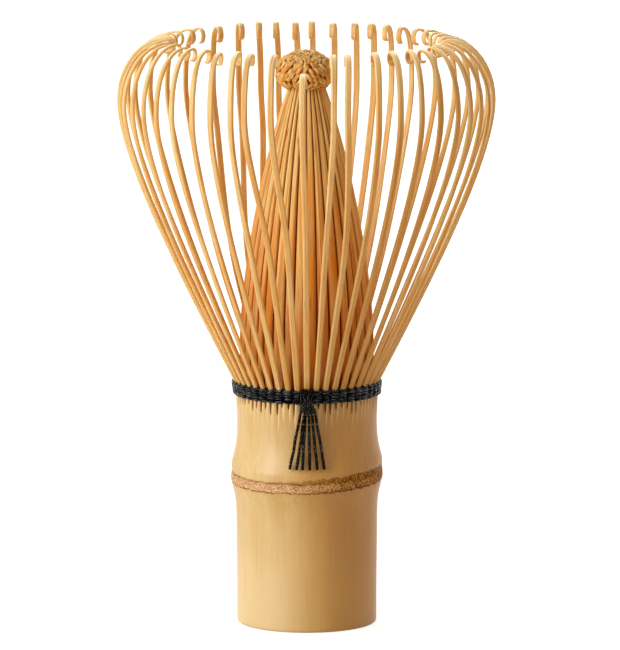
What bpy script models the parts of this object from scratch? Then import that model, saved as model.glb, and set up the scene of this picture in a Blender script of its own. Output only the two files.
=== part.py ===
"""A bamboo matcha whisk, standing on its handle. Metres, +Z up, origin under the middle of the base.

One length of culm is split above its node into springy outer tines, which curl over at the top, and
inner tines, which are gathered into a cone and plaited at the tip. A black thread is wound round the
roots of the tines and knotted at the front, where its six ends hang down. The front faces -Y.
"""

import math

import bmesh
import bpy
from mathutils import Vector

# Clearance between pieces that touch on the real whisk
REST_GAP = 0.0003

# Handle: the unsplit length of culm, hollow on both sides of its node
CULM_RADIUS = 0.0133
CULM_HEIGHT = 0.0422
LOWER_WALL = 0.0038
UPPER_WALL = 0.0031
BASE_ROUNDING = 0.0005
NODE_HEIGHT = 0.0285
NODE_SWELL = 0.00107
NODE_RIDGE_OFFSET = 0.00155
NODE_GROOVE = 0.0002
NODE_FADE = 0.0030
SEPTUM_THICKNESS = 0.0030

# Roots of the outer tines, which stand on the rim of the handle inside the winding
TINE_COUNT = 48
SLIT_WIDTH = 0.0004
ROOT_HEIGHT = 0.0040
ROOT_DEPTH = 0.0010
ROOT_LEAN = 0.00055

# Outer tines, measured from their lower ends
SPLAY_ANGLE = math.radians(27.5)
STEM_REACH = 0.031
BELLY_REACH = 0.009
BELLY_RISE = 0.0540
TINE_RISE = 0.0660
HEAD_RADIUS = 0.0360
MOUTH_INSET = 0.0092
HOOK_RADIUS = 0.0017
HOOK_TURN = math.radians(200.0)
ROOT_WIDTH = 0.00105
BELLY_WIDTH = 0.00090
HOOK_WIDTH = 0.00125
ROOT_THICKNESS = 0.00054
BELLY_THICKNESS = 0.00042
HOOK_THICKNESS = 0.00032
SIDE_LEAN = math.radians(3.0)

# Inner tines, measured from the rim of the handle
STRIP_COUNT = 36
STRIP_GAP = 0.00030
STRIP_ROOT_HEIGHT = 0.0018
STRIP_ROOT_THICKNESS = 0.00060
STRIP_TIP_THICKNESS = 0.00040
CONE_RISE = 0.0598
CONE_TIP_RADIUS = 0.0038
CONE_BULGE_ANGLE = math.radians(12.0)
CONE_TIP_ANGLE = math.radians(20.0)
CONE_REACH = 0.0140

# Plaited tip of the inner tines
BRAID_RADIUS = 0.0058
BRAID_HALF_HEIGHT = 0.0043
BRAID_FOOT_MARGIN = 0.0004

# Thread: its winding, the knot at the front and the knot's loose ends
THREAD_DIAMETER = 0.00065
WINDING_DIAMETER = 0.00042
WINDING_TURNS = 3
WINDING_PITCH = 0.00084
WINDING_DROP = 0.0024
KNOT_WIDTH = 0.0028
KNOT_DEPTH = 0.0015
KNOT_HEIGHT = 0.0037
KNOT_ROUNDING = 0.0005
TAIL_COUNT = 6
TAIL_NODE_CLEARANCE = 0.00136
TAIL_TOP_SPACING = 0.00064
TAIL_END_SPACING = 0.00133
TAIL_LAYER_STEP = 0.00074

# Fineness of the faceted surfaces
NODE_RING_STEPS = (0.5, 1.05, 1.7, 2.6)
STEM_STEPS = 5
SHOULDER_STEPS = 4
HOOK_STEPS = 6
STRIP_STEPS = 8
BRAID_SIDES = 24
BRAID_STEPS = 7
WINDING_STEPS_PER_TURN = 24
TAIL_STEPS = 7
CAD_SHARP_ANGLE = math.radians(35.0)

# Direction of the photographed front, and the places that follow from the sizes above
FRONT = math.radians(-90.0)
ROOT_INNER_RADIUS = CULM_RADIUS - ROOT_DEPTH
ROOT_TOP_RADIUS = CULM_RADIUS + ROOT_LEAN
ROOT_TOP = CULM_HEIGHT + ROOT_HEIGHT
TINE_FOOT = ROOT_TOP + REST_GAP
HINGE_HEIGHT = ROOT_TOP + REST_GAP / 2
HINGE_RADIUS = ROOT_TOP_RADIUS - ROOT_THICKNESS / 2


def finish_object(name, bm, surface):
    """Turns the bmesh into a named, smooth-shaded object."""
    mesh = bpy.data.meshes.new(name)
    bm.to_mesh(mesh)
    bm.free()
    mesh.materials.append(surface)
    mesh.shade_smooth()
    mesh.set_sharp_from_angle(angle=CAD_SHARP_ANGLE)
    item = bpy.data.objects.new(name, mesh)
    bpy.context.scene.collection.objects.link(item)
    return item


def material(name, colour, roughness):
    surface = bpy.data.materials.new(name)
    surface.use_nodes = True
    shader = surface.node_tree.nodes["Principled BSDF"]
    shader.inputs["Base Color"].default_value = (*colour, 1.0)
    shader.inputs["Roughness"].default_value = roughness
    shader.inputs["Metallic"].default_value = 0.0
    return surface


def at(angle, radial, tangential, height):
    """The point that lies this far out along the angle, this far to its left and this high."""
    across = radial * math.cos(angle) - tangential * math.sin(angle)
    along = radial * math.sin(angle) + tangential * math.cos(angle)
    return Vector((across, along, height))


def mix(start, end, share):
    return start + (end - start) * share


def ring(bm, radius, height, angles):
    return [bm.verts.new(at(angle, radius, 0.0, height)) for angle in angles]


def wall(bm, first, second):
    """Faces between two rings of as many points, looking out when the second lies above."""
    count = len(first)
    for i in range(count):
        j = (i + 1) % count
        bm.faces.new((first[i], first[j], second[j], second[i]))


def bezier(start, start_handle, end_handle, end, share):
    """A point on the cubic curve, and its direction there."""
    rest = 1.0 - share
    point = (
        start * rest**3
        + start_handle * (3 * rest**2 * share)
        + end_handle * (3 * rest * share**2)
        + end * share**3
    )
    direction = (
        (start_handle - start) * rest**2
        + (end_handle - start_handle) * (2 * rest * share)
        + (end - end_handle) * share**2
    )
    return point, direction.normalized()


def prong_corners(angle, skin, inward, width, thickness):
    """Four corners of a flat strip's section, counter-clockwise as seen from its tip.

    Skin and inward are pairs of radius and height: the middle of the outer face, and the way to the
    inner face.
    """
    inner = skin + inward * thickness
    half = width / 2
    return [
        at(angle, skin.x, -half, skin.y),
        at(angle, skin.x, half, skin.y),
        at(angle, inner.x, half, inner.y),
        at(angle, inner.x, -half, inner.y),
    ]


def grow_prong(bm, base, sections):
    """Carries four corners up through the sections and closes the end."""
    for section in sections:
        corners = [bm.verts.new(point) for point in section]
        for i in range(4):
            j = (i + 1) % 4
            bm.faces.new((base[i], base[j], corners[j], corners[i]))
        base = corners
    bm.faces.new(base)


def culm_radius(height):
    """Outer radius of the handle: two ridges beside the node's groove, fading into the straight culm."""
    away = abs(height - NODE_HEIGHT)
    beyond = max(0.0, away - NODE_RIDGE_OFFSET)
    swell = NODE_SWELL * math.exp(-((beyond / NODE_FADE) ** 1.5))
    groove = NODE_GROOVE * max(0.0, 1.0 - away / NODE_RIDGE_OFFSET)
    return CULM_RADIUS + swell - groove


def node_ring_heights():
    """Heights of the handle's rings: the groove, its two ridges and the swelling's fade on each side."""
    away = [NODE_RIDGE_OFFSET] + [NODE_RIDGE_OFFSET + NODE_FADE * step for step in NODE_RING_STEPS]
    heights = [NODE_HEIGHT] + [NODE_HEIGHT + side * a for a in away for side in (-1, 1)]
    return sorted(h for h in heights if BASE_ROUNDING < h < CULM_HEIGHT)


def tine_angles():
    return [FRONT + math.tau * i / TINE_COUNT for i in range(TINE_COUNT)]


def make_handle(surface):
    """The culm: a bore below the node, a cup above it, and a split rim that carries the tine roots."""
    bm = bmesh.new()
    root_width = math.tau * CULM_RADIUS / TINE_COUNT - SLIT_WIDTH
    half_angle = math.asin(root_width / 2 / CULM_RADIUS)
    columns = [angle - half_angle for angle in tine_angles()]
    edges = [angle + side * half_angle for angle in tine_angles() for side in (-1, 1)]
    septum_floor = NODE_HEIGHT - SEPTUM_THICKNESS / 2
    septum_top = NODE_HEIGHT + SEPTUM_THICKNESS / 2
    bore_radius = CULM_RADIUS - LOWER_WALL
    cup_radius = CULM_RADIUS - UPPER_WALL

    profile = [(bore_radius, septum_floor), (bore_radius, 0.0)]
    profile += [(CULM_RADIUS - BASE_ROUNDING, 0.0), (CULM_RADIUS, BASE_ROUNDING)]
    profile += [(culm_radius(height), height) for height in node_ring_heights()]
    rings = [ring(bm, radius, height, columns) for radius, height in profile]
    bm.faces.new(list(reversed(rings[0])))
    for first, second in zip(rings, rings[1:]):
        wall(bm, first, second)

    rim_outer = ring(bm, CULM_RADIUS, CULM_HEIGHT, edges)
    rim_inner = ring(bm, ROOT_INNER_RADIUS, CULM_HEIGHT, edges)
    cup_edge = ring(bm, cup_radius, CULM_HEIGHT, columns)
    cup_floor = ring(bm, cup_radius, septum_top, columns)
    below = rings[-1]
    for i, angle in enumerate(tine_angles()):
        j = (i + 1) % TINE_COUNT
        left, right, following = 2 * i, 2 * i + 1, 2 * j
        bm.faces.new((below[i], below[j], rim_outer[following], rim_outer[right], rim_outer[left]))
        bm.faces.new((rim_inner[left], rim_inner[right], rim_inner[following], cup_edge[j], cup_edge[i]))
        bm.faces.new((rim_outer[right], rim_outer[following], rim_inner[following], rim_inner[right]))
        top = Vector((ROOT_TOP_RADIUS, ROOT_TOP))
        depth = ROOT_TOP_RADIUS - ROOT_INNER_RADIUS
        corners = prong_corners(angle, top, Vector((-1.0, 0.0)), ROOT_WIDTH, depth)
        base = (rim_outer[left], rim_outer[right], rim_inner[right], rim_inner[left])
        grow_prong(bm, base, [corners])
    wall(bm, cup_edge, cup_floor)
    bm.faces.new(cup_floor)
    return finish_object("handle_culm", bm, surface)


def tine_sections():
    """Corners of an outer tine's sections, from its foot over the belly and shoulder into the hook.

    They lie about the tine's own hinge: X points out of the whisk, and Z up.
    """
    foot = Vector((ROOT_TOP_RADIUS, TINE_FOOT))
    belly = Vector((HEAD_RADIUS, TINE_FOOT + BELLY_RISE))
    mouth = Vector((HEAD_RADIUS - MOUTH_INSET, TINE_FOOT + TINE_RISE))
    foot_handle = foot + Vector((math.sin(SPLAY_ANGLE), math.cos(SPLAY_ANGLE))) * STEM_REACH
    belly_handle = belly - Vector((0.0, BELLY_REACH))

    stations = []
    for i in range(STEM_STEPS + 1):
        share = i / STEM_STEPS
        point, direction = bezier(foot, foot_handle, belly_handle, belly, share)
        width = mix(ROOT_WIDTH, BELLY_WIDTH, share)
        thickness = mix(ROOT_THICKNESS, BELLY_THICKNESS, share)
        stations.append((point, direction, width, thickness))
    for i in range(1, SHOULDER_STEPS + 1):
        share = i / SHOULDER_STEPS
        turn = math.pi / 2 * share
        across = mouth.x + MOUTH_INSET * math.cos(turn)
        up = belly.y + (mouth.y - belly.y) * math.sin(turn)
        slope = Vector((-MOUTH_INSET * math.sin(turn), (mouth.y - belly.y) * math.cos(turn)))
        width = mix(BELLY_WIDTH, HOOK_WIDTH, share)
        thickness = mix(BELLY_THICKNESS, HOOK_THICKNESS, share)
        stations.append((Vector((across, up)), slope.normalized(), width, thickness))
    for i in range(1, HOOK_STEPS + 1):
        turn = HOOK_TURN * i / HOOK_STEPS
        across = mouth.x - HOOK_RADIUS * math.sin(turn)
        up = mouth.y - HOOK_RADIUS + HOOK_RADIUS * math.cos(turn)
        slope = Vector((-math.cos(turn), -math.sin(turn)))
        stations.append((Vector((across, up)), slope, HOOK_WIDTH, HOOK_THICKNESS))

    hinge = Vector((HINGE_RADIUS, HINGE_HEIGHT))
    sections = []
    for point, direction, width, thickness in stations:
        inward = Vector((-direction.y, direction.x))
        sections.append(prong_corners(0.0, point - hinge, inward, width, thickness))
    return sections


def side_lean(angle):
    """How far a tine leans round the whisk: those between front, sides and back part towards the sides."""
    return SIDE_LEAN * math.sin(2 * (angle - FRONT))


def make_outer_tines(surface):
    """Equal tines round the rim, each turning on its own hinge at its root."""
    sections = tine_sections()
    bm = bmesh.new()
    foot = [bm.verts.new(point) for point in sections[0]]
    bm.faces.new(list(reversed(foot)))
    grow_prong(bm, foot, sections[1:])
    first = finish_object("outer_tine_01", bm, surface)
    for i, angle in enumerate(tine_angles()):
        tine = first
        if i:
            tine = bpy.data.objects.new(f"outer_tine_{i + 1:02d}", first.data)
            bpy.context.scene.collection.objects.link(tine)
        tine.location = at(angle, HINGE_RADIUS, 0.0, HINGE_HEIGHT)
        tine.rotation_euler = (-side_lean(angle), 0.0, angle)


def strip_sections(angle):
    """Corners of an inner tine's sections above its root, drawn in towards the tip."""
    root = Vector((ROOT_INNER_RADIUS - REST_GAP, CULM_HEIGHT + REST_GAP + STRIP_ROOT_HEIGHT))
    tip = Vector((CONE_TIP_RADIUS, CULM_HEIGHT + CONE_RISE))
    bulge = Vector((math.sin(CONE_BULGE_ANGLE), math.cos(CONE_BULGE_ANGLE)))
    narrowing = Vector((-math.sin(CONE_TIP_ANGLE), math.cos(CONE_TIP_ANGLE)))
    sections = []
    for i in range(1, STRIP_STEPS + 1):
        share = i / STRIP_STEPS
        skin, direction = bezier(
            root, root + bulge * CONE_REACH, tip - narrowing * CONE_REACH, tip, share
        )
        thickness = mix(STRIP_ROOT_THICKNESS, STRIP_TIP_THICKNESS, share)
        inward = Vector((-direction.y, direction.x))
        width = strip_width((skin + inward * thickness).x)
        sections.append(prong_corners(angle, skin, inward, width, thickness))
    return sections


def strip_width(inner_radius):
    """Width that leaves the gap between neighbouring strips at this radius."""
    return math.tau * inner_radius / STRIP_COUNT - STRIP_GAP


def make_inner_tines(name, middle, surface):
    """Half of the inner tines, on a common root that is a slice of the culm's wall."""
    bm = bmesh.new()
    count = STRIP_COUNT // 2
    pitch = math.tau / STRIP_COUNT
    angles = [middle + pitch * (i - (count - 1) / 2) for i in range(count)]
    outer = ROOT_INNER_RADIUS - REST_GAP
    floor = CULM_HEIGHT + REST_GAP
    width = strip_width(outer - STRIP_ROOT_THICKNESS)
    inward = Vector((-1.0, 0.0))

    levels = []
    for height in (floor, floor + STRIP_ROOT_HEIGHT):
        skin = Vector((outer, height))
        quads = [
            [bm.verts.new(p) for p in prong_corners(a, skin, inward, width, STRIP_ROOT_THICKNESS)]
            for a in angles
        ]
        outside = [vertex for quad in quads for vertex in quad[:2]]
        inside = [vertex for quad in quads for vertex in (quad[3], quad[2])]
        levels.append((outside, inside))
    (outside_low, inside_low), (outside_high, inside_high) = levels

    last = len(outside_low) - 1
    for i in range(last):
        j = i + 1
        bm.faces.new((outside_low[i], outside_low[j], outside_high[j], outside_high[i]))
        bm.faces.new((inside_low[j], inside_low[i], inside_high[i], inside_high[j]))
        bm.faces.new((outside_low[j], outside_low[i], inside_low[i], inside_low[j]))
        if i % 2:
            bm.faces.new((outside_high[i], outside_high[j], inside_high[j], inside_high[i]))
    bm.faces.new((outside_low[0], outside_high[0], inside_high[0], inside_low[0]))
    bm.faces.new((outside_high[last], outside_low[last], inside_low[last], inside_high[last]))
    for i, angle in enumerate(angles):
        left, right = 2 * i, 2 * i + 1
        base = (outside_high[left], outside_high[right], inside_high[right], inside_high[left])
        grow_prong(bm, base, strip_sections(angle))
    return finish_object(name, bm, surface)


def make_tip_braid(surface):
    """The outer form of the plaited tip: a flattened ball that stands on the ends of the inner tines."""
    bm = bmesh.new()
    angles = [math.tau * i / BRAID_SIDES for i in range(BRAID_SIDES)]
    foot_radius = CONE_TIP_RADIUS + BRAID_FOOT_MARGIN
    foot_turn = -math.acos(foot_radius / BRAID_RADIUS)
    foot = CULM_HEIGHT + CONE_RISE + REST_GAP
    middle = foot - BRAID_HALF_HEIGHT * math.sin(foot_turn)
    turns = [mix(foot_turn, math.pi / 2, i / BRAID_STEPS) for i in range(BRAID_STEPS)]
    rings = [
        ring(bm, BRAID_RADIUS * math.cos(turn), middle + BRAID_HALF_HEIGHT * math.sin(turn), angles)
        for turn in turns
    ]
    bm.faces.new(list(reversed(rings[0])))
    for first, second in zip(rings, rings[1:]):
        wall(bm, first, second)
    crown = bm.verts.new((0.0, 0.0, middle + BRAID_HALF_HEIGHT))
    for i in range(BRAID_SIDES):
        bm.faces.new((rings[-1][i], rings[-1][(i + 1) % BRAID_SIDES], crown))
    return finish_object("tip_braid", bm, surface)


def winding_radius(height):
    """Radius of the winding's centreline, clear of the leaning tine roots at that height."""
    lean = ROOT_LEAN * (height - CULM_HEIGHT) / ROOT_HEIGHT
    return CULM_RADIUS + lean + REST_GAP + WINDING_DIAMETER / 2


def winding_route():
    """From the knot round the tine roots in a rising helix and out to the knot again."""
    foot = ROOT_TOP - WINDING_DROP
    lead = at(FRONT, WINDING_DIAMETER, 0.0, 0.0)
    turns = []
    for i in range(WINDING_TURNS * WINDING_STEPS_PER_TURN + 1):
        share = i / WINDING_STEPS_PER_TURN
        height = foot + WINDING_PITCH * share
        turns.append(at(FRONT + math.tau * share, winding_radius(height), 0.0, height))
    return [turns[0] + lead, *turns, turns[-1] + lead]


def least_gap(points, diameter):
    """Least clear distance between stretches of a tube that are a quarter turn or more apart."""
    apart = WINDING_STEPS_PER_TURN // 4
    found = min(
        (points[j] - points[i]).length
        for i in range(len(points))
        for j in range(i + apart, len(points))
    )
    return found - diameter


def make_tube(name, points, diameter, resolution, surface):
    curve = bpy.data.curves.new(name, "CURVE")
    curve.dimensions = "3D"
    curve.bevel_depth = diameter / 2
    curve.bevel_resolution = resolution
    curve.use_fill_caps = True
    curve.materials.append(surface)
    spline = curve.splines.new("POLY")
    spline.points.add(len(points) - 1)
    for target, point in zip(spline.points, points):
        target.co = (*point, 1.0)
    item = bpy.data.objects.new(name, curve)
    bpy.context.scene.collection.objects.link(item)
    return item


def make_winding(surface):
    route = winding_route()
    print(f"least gap of the winding to itself: {least_gap(route, WINDING_DIAMETER) * 1000:.3f} mm")
    return make_tube("thread_winding", route, WINDING_DIAMETER, 1, surface)


def knot_place():
    """How far out the knot's back lies, and the height of its middle."""
    foot, *_, head = winding_route()
    reach = -min(foot.y, head.y)
    return reach + REST_GAP, (foot.z + head.z) / 2


def make_knot(surface):
    """A rounded lump across the ends of the winding."""
    back, middle = knot_place()
    bm = bmesh.new()
    bmesh.ops.create_cube(bm, size=1.0)
    bmesh.ops.scale(bm, vec=(KNOT_WIDTH, KNOT_DEPTH, KNOT_HEIGHT), verts=bm.verts)
    bmesh.ops.bevel(
        bm, geom=bm.edges[:], offset=KNOT_ROUNDING, segments=2, profile=0.5, affect="EDGES"
    )
    knot = finish_object("thread_knot", bm, surface)
    knot.location = at(FRONT, back + KNOT_DEPTH / 2, 0.0, middle)
    return knot


def tail_route(index):
    """One loose end, from under the knot towards the node's upper ridge, fanned out from its neighbours."""
    back, middle = knot_place()
    place = index - (TAIL_COUNT - 1) / 2
    top_across = place * TAIL_TOP_SPACING
    end_across = place * TAIL_END_SPACING
    top_height = middle - KNOT_HEIGHT / 2 - REST_GAP
    length = top_height - (NODE_HEIGHT + NODE_RIDGE_OFFSET + TAIL_NODE_CLEARANCE)
    drop = math.sqrt(length**2 - (end_across - top_across) ** 2)
    layer = index % 2 * TAIL_LAYER_STEP
    top_out = back + (KNOT_DEPTH - TAIL_LAYER_STEP) / 2 + layer
    end_out = culm_radius(top_height - drop) + REST_GAP + THREAD_DIAMETER / 2
    points = []
    for i in range(TAIL_STEPS + 1):
        share = i / TAIL_STEPS
        across = mix(top_across, end_across, share)
        radius = mix(top_out, end_out, share)
        points.append(Vector((across, -math.sqrt(radius**2 - across**2), top_height - drop * share)))
    return points


def main():
    for item in list(bpy.data.objects):
        bpy.data.objects.remove(item)
    culm = material("culm_bamboo", (0.70, 0.44, 0.18), 0.42)
    outer = material("outer_tine_bamboo", (0.64, 0.40, 0.17), 0.48)
    inner = material("inner_tine_bamboo", (0.58, 0.35, 0.14), 0.52)
    plait = material("tip_braid_bamboo", (0.60, 0.36, 0.14), 0.52)
    winding = material("winding_thread", (0.014, 0.013, 0.013), 0.62)
    knot = material("knot_thread", (0.014, 0.013, 0.013), 0.62)
    tails = material("tail_thread", (0.014, 0.013, 0.013), 0.66)

    make_handle(culm)
    make_outer_tines(outer)
    make_inner_tines("inner_tines_right", 0.0, inner)
    make_inner_tines("inner_tines_left", math.pi, inner)
    make_tip_braid(plait)
    make_winding(winding)
    make_knot(knot)
    for index in range(TAIL_COUNT):
        make_tube(f"thread_tail_{index + 1}", tail_route(index), THREAD_DIAMETER, 2, tails)


main()
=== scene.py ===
"""Looks of a bamboo matcha whisk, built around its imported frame. Metres, +Z up, the front faces -Y.

The frame's plain solids give every place and size. Here each tine is a shaved strip with its own curl,
the inner tines are a cone of uneven strips, the tip is plaited strand by strand, the culm has its node,
its slits and its skin, and the black thread is twisted, woven and knotted.
"""

import math
import random

import bpy
import numpy as np
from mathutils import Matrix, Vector


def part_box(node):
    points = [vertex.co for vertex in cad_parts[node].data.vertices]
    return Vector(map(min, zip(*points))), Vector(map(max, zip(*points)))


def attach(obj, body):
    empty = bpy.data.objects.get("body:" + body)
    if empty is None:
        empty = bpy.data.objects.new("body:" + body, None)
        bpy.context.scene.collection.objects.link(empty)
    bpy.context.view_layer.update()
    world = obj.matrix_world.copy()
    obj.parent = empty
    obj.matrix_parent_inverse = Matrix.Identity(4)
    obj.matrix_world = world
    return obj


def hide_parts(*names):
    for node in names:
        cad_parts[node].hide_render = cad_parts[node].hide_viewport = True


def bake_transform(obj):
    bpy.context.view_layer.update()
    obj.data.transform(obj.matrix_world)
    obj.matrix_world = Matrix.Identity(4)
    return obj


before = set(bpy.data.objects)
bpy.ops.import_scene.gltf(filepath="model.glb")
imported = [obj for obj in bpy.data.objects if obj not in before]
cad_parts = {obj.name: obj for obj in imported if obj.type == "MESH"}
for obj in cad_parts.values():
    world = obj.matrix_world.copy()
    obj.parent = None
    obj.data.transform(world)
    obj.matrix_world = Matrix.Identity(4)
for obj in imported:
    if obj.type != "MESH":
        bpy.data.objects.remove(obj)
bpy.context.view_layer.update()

MM = 0.001
WOOD_GLOW = (1.0, 0.62, 0.26)
FRONT = math.radians(-90.0)
PICTURE_WIDTH = 620

# Places that the frame gives
TINE_COUNT = sum(name.startswith("outer_tine_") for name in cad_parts)
TINE_PITCH = math.tau / TINE_COUNT
FRONT_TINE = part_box("outer_tine_01")
TINE_FOOT = FRONT_TINE[0].z
TINE_TOP = FRONT_TINE[1].z
HEAD_RADIUS = -FRONT_TINE[0].y
RIM_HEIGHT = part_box("inner_tines_right")[0].z
STRIP_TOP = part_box("inner_tines_right")[1].z
PLAIT_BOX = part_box("tip_braid")
KNOT_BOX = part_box("thread_knot")

# Culm. Its node is lower at the front and higher at the right, and its rough band lies below a crease
CULM_RADIUS = 13.3 * MM
CULM_TOP = 44.7 * MM
CULM_BELLY = 0.11 * MM
CULM_BELLY_HEIGHT = 19.0 * MM
CULM_BELLY_REACH = 8.0 * MM
CULM_FLARE = 0.12 * MM
CULM_FLARE_LOW = 40.0 * MM
CULM_FLARE_HIGH = 44.5 * MM
NODE_HEIGHT = 29.5 * MM
NODE_TILT = 0.35 * MM
NODE_FRONT_DROP = 0.7 * MM
NODE_SWELL = 1.07 * MM
NODE_RIDGE_OFFSET = 1.55 * MM
NODE_FADE = 3.0 * MM
NODE_HOLLOW = 0.05 * MM
NODE_LINE_WIDTHS = (0.07 * MM, 0.24 * MM)
CREASE_DEPTH = 0.24 * MM
CREASE_WIDTH = 0.15 * MM
CREASE_FADE = 0.05 * MM
SLIT_COUNT = 72
SLIT_WIDTH = 0.4 * MM
SLIT_TIP_WIDTH = 0.12 * MM
SLIT_DEPTH = 0.55 * MM
SLIT_TOP = CULM_TOP - 0.5 * MM
SLIT_LENGTHS = (1.0 * MM, 2.8 * MM)
TOOTH_RIDGE = 0.08 * MM
TOOTH_RIM = 0.14 * MM
# Heights in mm of the rings of its outer face: close at the node and at the slits
CULM_LEVELS = (
    (0.5, 1.0, 2.0, 4.0, 7.0, 10.0, 13.0, 16.0, 19.0, 21.0, 22.5, 23.5, 24.3, 24.8),
    np.arange(25.1, 31.5, 0.16),
    (31.8, 32.2, 32.7, 33.3, 34.0, 35.0, 36.5, 38.0, 39.0, 40.0),
    np.arange(40.4, 44.61, 0.18),
)
# Radius and height in mm of its inner faces, under the septum and above it
CULM_BORE = (
    (0.02, 27.0), (6.0, 26.9), (9.1, 26.9), (9.45, 26.6), (9.5, 20.0), (9.5, 6.0), (9.5, 0.35),
    (9.62, 0.1), (9.85, 0.0), (11.3, 0.0), (12.7, 0.0), (13.02, 0.06), (13.22, 0.22),
)
CULM_HOLLOW = (
    (13.2, 44.7), (12.8, 44.7), (12.34, 44.7), (12.3, 44.6), (12.3, 42.25), (12.26, 42.2), (10.3, 42.2),
    (10.2, 42.1), (10.2, 36.0), (10.2, 30.4), (9.9, 30.05), (9.4, 30.0), (5.0, 30.0), (0.02, 30.0),
)
# How many of the bore's last rings already carry the skin
SKIN_BELOW = 3

# Outer tines. Angles in degrees where the name says so
ROOT_TOP_RADIUS = 13.85 * MM
ROOT_ROUTE = np.array(((13.25, 44.3), (13.56, 45.0), (13.78, 45.8))) * MM
SPLAY_ANGLE = math.radians(27.5)
STEM_REACH = 31.0 * MM
BELLY_REACH = 9.0 * MM
SHOULDER_RISE = 12.0 * MM
MOUTH_INSET = 9.2 * MM
HOOK_RADII = (1.3 * MM, 1.68 * MM)
HOOK_TURN_DEGREES = (132.0, 188.0)
RIGHT_HOOK_TURN_DEGREES = 38.0
RIGHT_HOOKS = (0.0, 2.4)
STEM_POINTS = 26
SHOULDER_POINTS = 12
HOOK_POINTS = 14
# At the foot, the belly, the middle of the shoulder and the mouth
TINE_WIDTHS = np.array((1.1, 1.2, 1.2, 1.26)) * MM
TINE_THICKNESSES = np.array((0.54, 0.66, 0.66, 0.42)) * MM
SIDE_LEAN = math.radians(7.9)
BACK_LEAN = math.radians(1.7)
# Where the lean starts and where it is full, at the front and at the back
LEAN_LOW = (72.0 * MM, 55.0 * MM)
LEAN_HIGH = (103.0 * MM, 93.0 * MM)
FRONT_TINE_DROP = 3.4 * MM
# Where round the whisk the outer tines gather, how widely, and how far they lean there, in degrees
GATHERS = ((-12.5, 9.5, -5.2), (6.0, 4.0, 1.4), (15.0, 5.0, -2.0), (147.0, 12.0, 4.4), (-151.5, 20.0, -7.3))

# Inner tines
STRIP_COUNT = 36
STRIP_POINTS = 30
SECOND_LAYER = 0.8 * MM
CONE_ROOT_RADIUS = 12.0 * MM
CONE_TIP_RADIUS = 3.8 * MM
CONE_REACH = 14.0 * MM
CONE_BULGE_ANGLE = math.radians(12.0)
CONE_TIP_ANGLE = math.radians(20.0)
STRIP_ROOT_THICKNESS = 0.85 * MM
STRIP_TIP_THICKNESS = 0.5 * MM

# Plaited tip
PLAIT_RADIUS = PLAIT_BOX[1].x * 0.95
PLAIT_SHIFT = -0.35 * MM
PLAIT_RISE = 3.95 * MM
PLAIT_FULLNESS = 0.5
PLAIT_DROP = 3.5 * MM
PLAIT_MIDDLE = PLAIT_BOX[1].z - 3.6 * MM
PLAIT_TURN = math.radians(5.0)

# Thread
THREAD_DIAMETER = 0.65 * MM
TAIL_DIAMETER = 0.64 * MM
THREAD_LAY = 1.3 * MM
BAND_TURNS = 4
BAND_FOOT = 44.44 * MM
BAND_PITCH = 0.55 * MM
BAND_PULL = 0.8 * MM
ROOT_FOOT = 42.2 * MM
ROOT_RISE = 4.0 * MM
ROOT_LEAN = 0.55 * MM
# Strands of the knot by five points each: across and out from the culm in mm, and share of its height
KNOT_STRANDS = (
    ((-0.98, -0.8, 1.0), (-1.02, 0.1, 0.92), (-1.0, 0.45, 0.68), (-0.98, 0.5, 0.3), (-1.0, 0.3, -0.1)),
    ((-0.52, -0.8, 1.03), (-0.62, 0.15, 0.95), (-0.45, 0.62, 0.7), (0.02, 0.92, 0.36), (0.45, 0.7, -0.08)),
    ((0.02, -0.8, 1.0), (0.08, 0.12, 0.92), (-0.1, 0.5, 0.66), (-0.45, 0.7, 0.34), (-0.7, 0.5, -0.1)),
    ((0.62, -0.8, 1.05), (0.7, 0.15, 0.96), (0.42, 0.68, 0.72), (-0.04, 0.8, 0.42), (-0.34, 0.6, -0.08)),
    ((1.14, -0.8, 1.0), (1.14, 0.12, 0.92), (0.98, 0.5, 0.68), (1.06, 0.55, 0.32), (1.34, 0.3, -0.1)),
    ((0.5, 0.62, -0.1), (0.46, 0.9, 0.2), (0.72, 1.02, 0.48), (0.98, 0.92, 0.26), (0.98, 0.6, -0.1)),
    ((-1.2, -0.1, 0.34), (-0.9, 0.7, 0.26), (-0.2, 1.02, 0.14), (0.7, 0.8, 0.04), (1.3, 0.0, 0.02)),
)
# Where the loose ends leave the knot, across and out from the culm, and where they end across it, in mm
TAIL_TOPS = ((-0.99, 0.34), (-0.32, 0.72), (-0.22, 0.22), (0.37, 0.62), (0.91, 0.34), (1.48, 0.3))
TAIL_ENDS = (-3.25, -1.98, -0.84, 0.55, 1.98, 3.32)

# Camera, as far from the whisk as the photograph's narrow view asks, and in the photograph's frame
CAMERA_BACK = 1.5
CAMERA_HEIGHT = 0.2896
AIM_HEIGHT = 0.0572
AIM_ACROSS = 0.0006
PIXELS_PER_METRE = 5252.0
SENSOR_WIDTH = 36.0

# Surroundings: the world's light and tint and the floor's tint for what they light; the floor as seen
LAMP_AIM = Vector((0.0, 0.0, 0.06))
WHITE = (1.0, 1.0, 1.0, 1.0)
WORLD_LIGHT = 0.31
WORLD_TINT = (1.0, 0.75, 0.48, 1.0)
FLOOR_REACH = 6.0
FLOOR_HEIGHT = -0.00002
FLOOR_TINT = (0.66, 0.56, 0.44, 1.0)
FLOOR_SEEN = (0.4, 0.4, 0.4, 1.0)
FLOOR_SEEN_LIGHT = 0.82


def srgb(red, green, blue):
    """A linear colour from one written in 0 to 255."""
    parts = [value / 255 for value in (red, green, blue)]
    linear = [v / 12.92 if v <= 0.04045 else ((v + 0.055) / 1.055) ** 2.4 for v in parts]
    return (*linear, 1.0)


def mix(start, end, share):
    return start + (end - start) * share


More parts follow.
